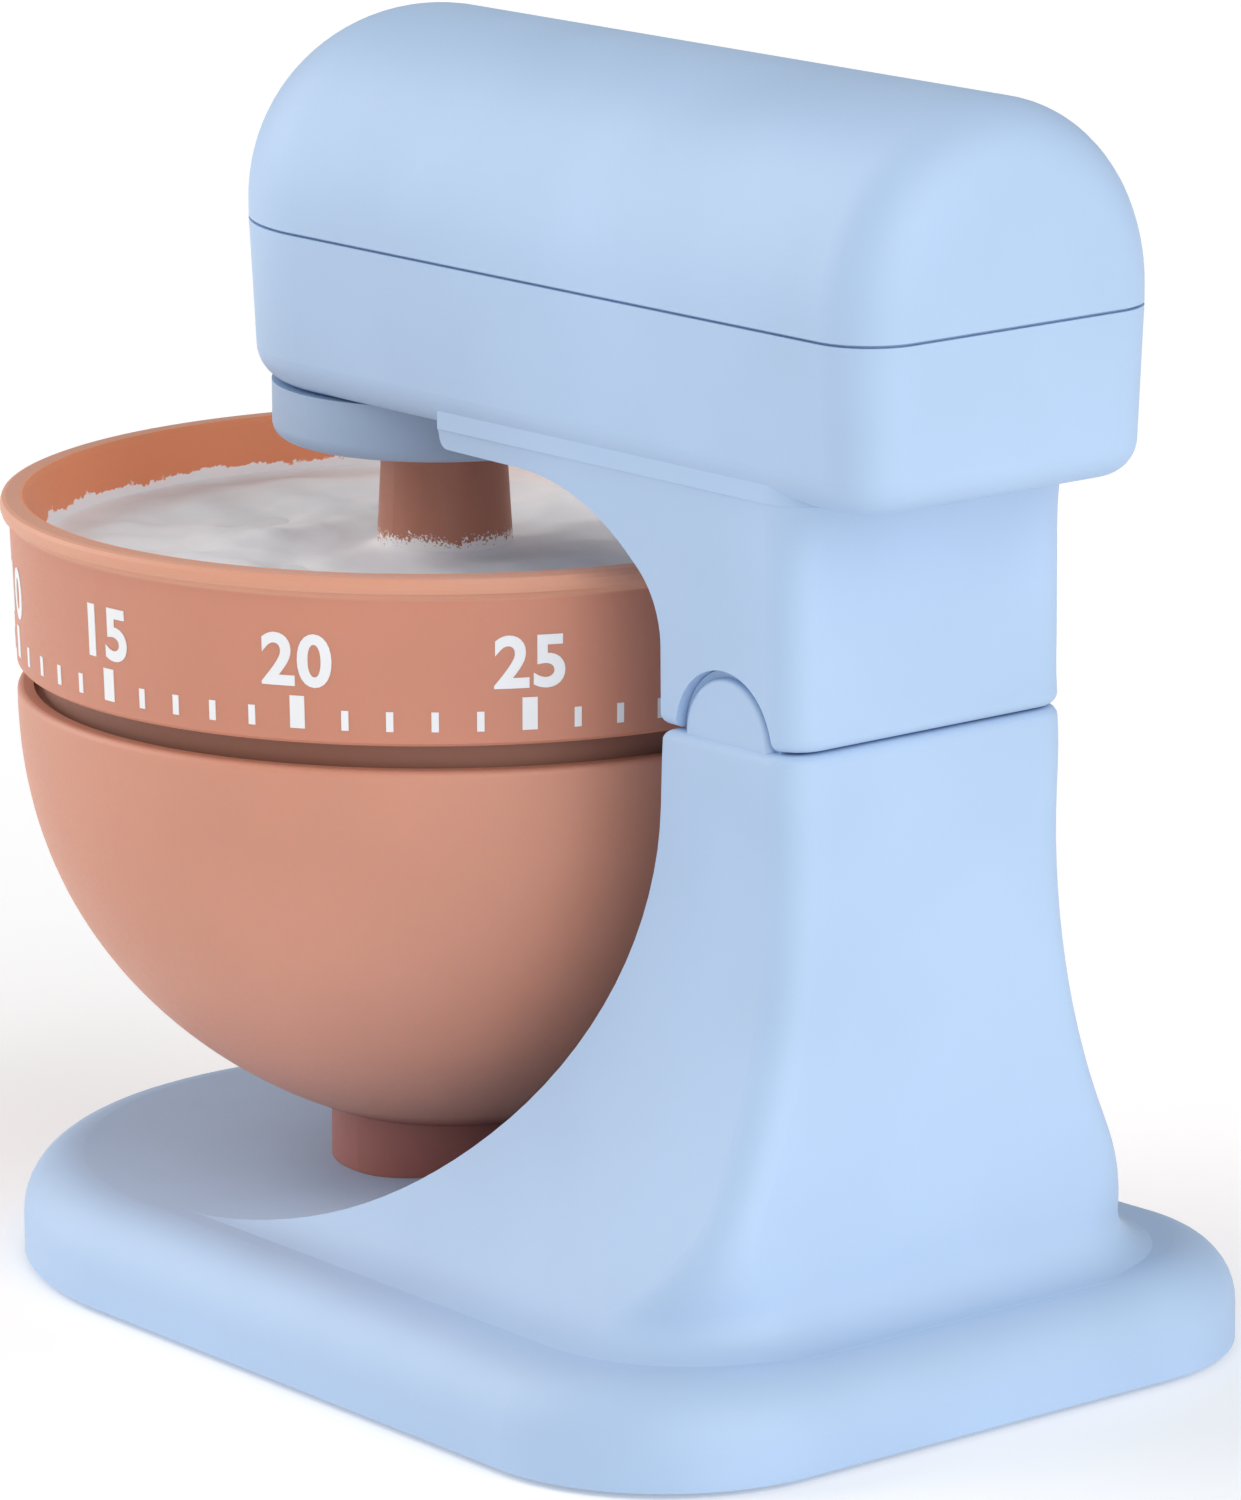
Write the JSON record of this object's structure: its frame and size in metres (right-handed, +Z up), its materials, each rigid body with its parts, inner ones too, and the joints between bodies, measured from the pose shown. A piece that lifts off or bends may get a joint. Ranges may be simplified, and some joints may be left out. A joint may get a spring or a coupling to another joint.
{
  "type": "kitchen timer",
  "caption": "Mixer-shaped wind-up kitchen timer: a numbered dial ring turns on a bowl under a rounded head, with a geared bell movement in the bowl",
  "frame": {"origin": "on the table plane, at the middle of the timer's bounding box", "axes": "+Z up, -Y towards the mixer's nose, +X to the right for a viewer in front of the nose looking along +Y; +Y is the longest extent"},
  "size_m": [0.072, 0.1057, 0.1039],
  "materials": {
    "body_blue": "matte soft-touch light blue moulding",
    "copper_plastic": "satin copper-pink moulding, slightly translucent",
    "cover_plastic": "matte blue base plate",
    "white_print": "printed or sprayed white",
    "rubber": "pale soft rubber",
    "steel": "zinc-plated steel",
    "brass": "stamped brass"
  },
  "bodies": {
    "root": {"base_column": "body_blue", "base_cover": "cover_plastic", "rubber_feet": "rubber", "base_cover_screws": "steel", "head_housing": "body_blue", "head_cover": "body_blue", "neck_screws": "steel", "hub": "body_blue", "hub_screw": "steel", "bowl": "copper_plastic", "bowl_screw": "steel", "bowl_lid": "copper_plastic", "movement_screws": "steel", "lower_plate": "steel", "upper_plate": "steel", "plate_pillars": "steel", "bell": "steel", "bell_post": "steel", "bell_nut": "steel", "mainspring": "steel"},
    "dial": {"dial_ring": "copper_plastic", "main_arbor": "steel", "main_wheel": "brass", "strike_cam": "brass"},
    "second_stage": {"second_arbor": "steel", "second_wheel": "brass"},
    "third_stage": {"third_arbor": "steel", "third_wheel": "brass"},
    "escape_stage": {"escape_arbor": "steel", "escape_wheel": "brass"},
    "pallet": {"pallet_arbor": "steel", "pallet_lever": "steel"},
    "hammer_unit": {"hammer": "steel", "hammer_tail": "steel"}
  },
  "joints": [
    {"name": "dial_turn", "type": "hinge", "parent": "root", "child": "dial", "pos_m": [0, -0.016, 0.0509], "axis": [0, 0, -1], "range_deg": [0, 354]},
    {"name": "second_turn", "type": "hinge", "parent": "root", "child": "second_stage", "pos_m": [-0.01247, -0.0232, 0.034], "axis": [0, 0, -1], "range_deg": [-1770, 0]},
    {"name": "third_turn", "type": "hinge", "parent": "root", "child": "third_stage", "pos_m": [-0.00605, -0.03189, 0.037], "axis": [0, 0, -1], "range_deg": [0, 8850]},
    {"name": "escape_turn", "type": "hinge", "parent": "root", "child": "escape_stage", "pos_m": [0.00221, -0.03386, 0.0416], "axis": [0, 0, -1], "range_deg": [-35400, 0]},
    {"name": "pallet_swing", "type": "hinge", "parent": "root", "child": "pallet", "pos_m": [0.00999, -0.03097, 0.0416], "axis": [0, 0, 1], "range_deg": [-7, 7]},
    {"name": "hammer_swing", "type": "hinge", "parent": "root", "child": "hammer_unit", "pos_m": [0.01819, -0.0055, 0.0335], "axis": [0, 0, -1], "range_deg": [-3, 12], "stiffness_Nm_per_rad": 0.001}
  ],
  "couplings": [
    {"joint": "second_turn", "follows": "dial_turn", "ratio": -5},
    {"joint": "third_turn", "follows": "dial_turn", "ratio": 25},
    {"joint": "escape_turn", "follows": "dial_turn", "ratio": -100}
  ]
}
